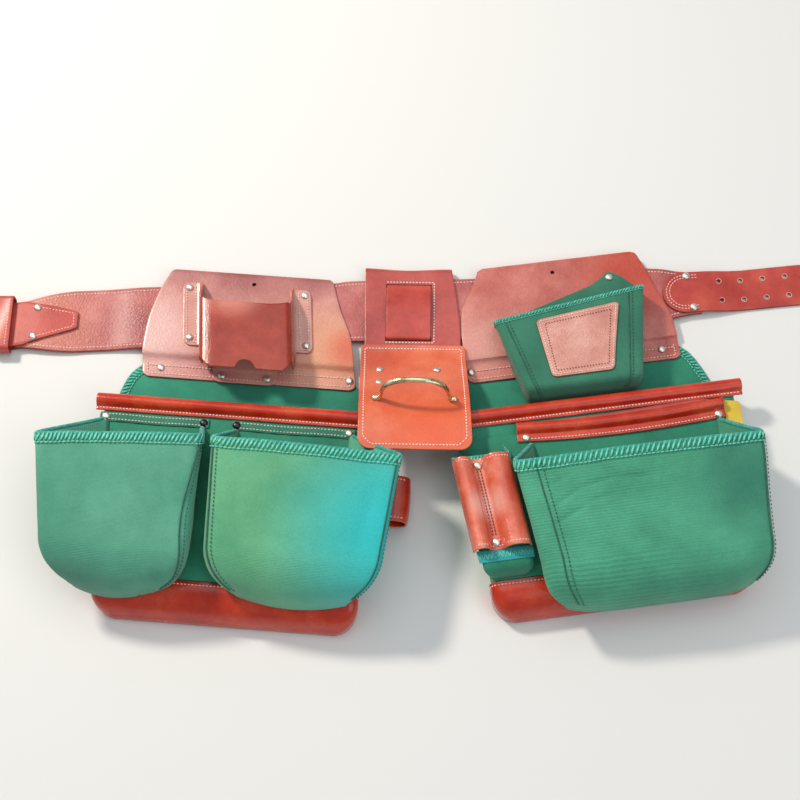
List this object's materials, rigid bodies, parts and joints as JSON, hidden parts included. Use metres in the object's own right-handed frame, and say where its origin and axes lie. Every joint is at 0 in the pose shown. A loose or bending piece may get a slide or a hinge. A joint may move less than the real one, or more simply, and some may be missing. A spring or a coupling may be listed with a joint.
{
  "type": "tool belt",
  "caption": "Carpenter's tool belt laid out flat: leather waist belt, green fabric pouch bags with leather yokes, rims and boots, a tape holster and a hammer holder.",
  "frame": {"origin": "the middle of the belt's width behind the hammer holder, on the flat waist side that lies on the surface", "axes": "+X along the belt towards the billet's tip, +Y towards the edge worn uppermost, +Z away from the waist side, up from the surface it lies on"},
  "size_m": [1.0224, 0.4483, 0.095],
  "materials": {
    "glossy_leather": "oiled and glossy, orange red",
    "harness_leather": "smooth semi-gloss, dark red brown",
    "grained_leather": "pebbled grain with a soft sheen, pinkish red",
    "green_fabric": "foam-backed woven nylon, matt",
    "yellow_lining": "plain weave, matt",
    "rivet_steel": "nickel plated, satin",
    "loop_steel": "brass-toned plating, bright"
  },
  "bodies": {
    "root": {"belt_body": "grained_leather", "belt_buckle": "rivet_steel", "belt_keeper": "harness_leather", "billet_strap": "harness_leather", "billet_strap_rivet_1": "rivet_steel", "billet_strap_rivet_2": "rivet_steel", "buckle_strap": "harness_leather", "buckle_strap_rivet_1": "rivet_steel", "buckle_strap_rivet_2": "rivet_steel", "hammer_belt_strap": "harness_leather", "hammer_hanger": "harness_leather", "hammer_loop": "loop_steel", "hammer_plate": "glossy_leather", "hammer_plate_rivet_1": "rivet_steel", "hammer_plate_rivet_2": "rivet_steel", "hammer_plate_rivet_3": "rivet_steel", "hammer_plate_rivet_4": "rivet_steel", "left_back_panel": "green_fabric", "left_boot": "glossy_leather", "left_holster": "glossy_leather", "left_holster_floor": "glossy_leather", "left_holster_floor_rivet_1": "rivet_steel", "left_holster_floor_rivet_2": "rivet_steel", "left_holster_rivet_1": "rivet_steel", "left_holster_rivet_2": "rivet_steel", "left_holster_rivet_3": "rivet_steel", "left_holster_rivet_4": "rivet_steel", "left_inner_pouch": "green_fabric", "left_main_bag": "green_fabric", "left_main_rim": "glossy_leather", "left_outer_pouch": "green_fabric", "left_pouch_panel": "green_fabric", "left_pouch_rivet_1": "rivet_steel", "left_pouch_rivet_2": "rivet_steel", "left_pouch_rivet_3": "rivet_steel", "left_pouch_rivet_4": "rivet_steel", "left_tool_loop": "glossy_leather", "left_yoke": "grained_leather", "left_yoke_rivet_1": "rivet_steel", "left_yoke_rivet_2": "rivet_steel", "right_back_panel": "green_fabric", "right_boot": "glossy_leather", "right_leather_patch": "grained_leather", "right_liner": "yellow_lining", "right_main_bag": "green_fabric", "right_main_rim": "glossy_leather", "right_outer_pouch": "green_fabric", "right_pouch_panel": "green_fabric", "right_pouch_rim": "glossy_leather", "right_pouch_rim_rivet_1": "rivet_steel", "right_pouch_rim_rivet_2": "rivet_steel", "right_side_pouch": "green_fabric", "right_tool_sleeve": "glossy_leather", "right_tool_sleeve_rivet_1": "rivet_steel", "right_tool_sleeve_rivet_2": "rivet_steel", "right_yoke": "grained_leather", "right_yoke_pocket": "green_fabric", "right_yoke_pocket_rivet_1": "rivet_steel", "right_yoke_rivet_1": "rivet_steel", "right_yoke_rivet_2": "rivet_steel"}
  },
  "joints": []
}
